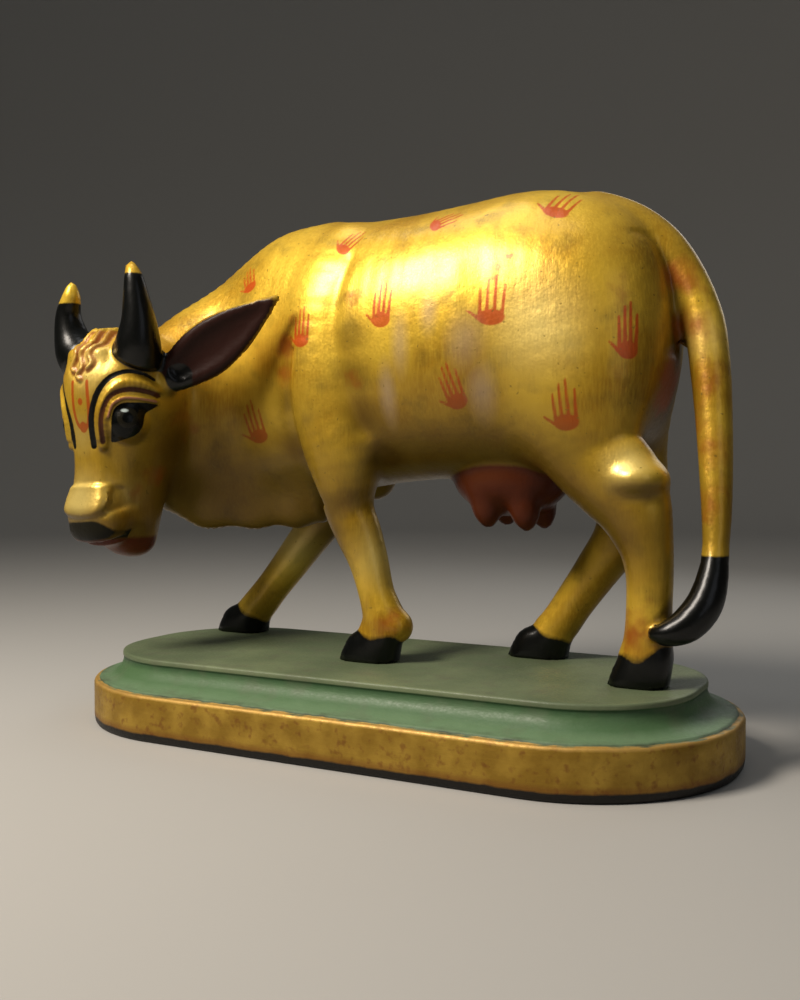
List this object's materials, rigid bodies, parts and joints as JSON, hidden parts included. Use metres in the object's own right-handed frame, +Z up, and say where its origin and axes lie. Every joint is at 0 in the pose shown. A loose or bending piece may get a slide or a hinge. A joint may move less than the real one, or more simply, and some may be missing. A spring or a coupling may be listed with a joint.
{
  "type": "cow statue",
  "caption": "Carved and painted cow standing on a low plinth with rounded ends, its head lowered and turned to one side.",
  "frame": {"origin": "middle of the plinth's flat underside", "axes": "-Z out of the underside, +Z up, X along the plinth's length with the cow looking towards -X, the cow's left side towards -Y"},
  "size_m": [0.3126, 0.1368, 0.2325],
  "materials": {
    "gold_paint": "gold paint on carved wood, satin, with red, black and maroon details",
    "green_paint": "green paint on wood, eggshell, with a gold band round the foot"
  },
  "bodies": {
    "root": {"cow": "gold_paint", "plinth": "green_paint"}
  },
  "joints": []
}
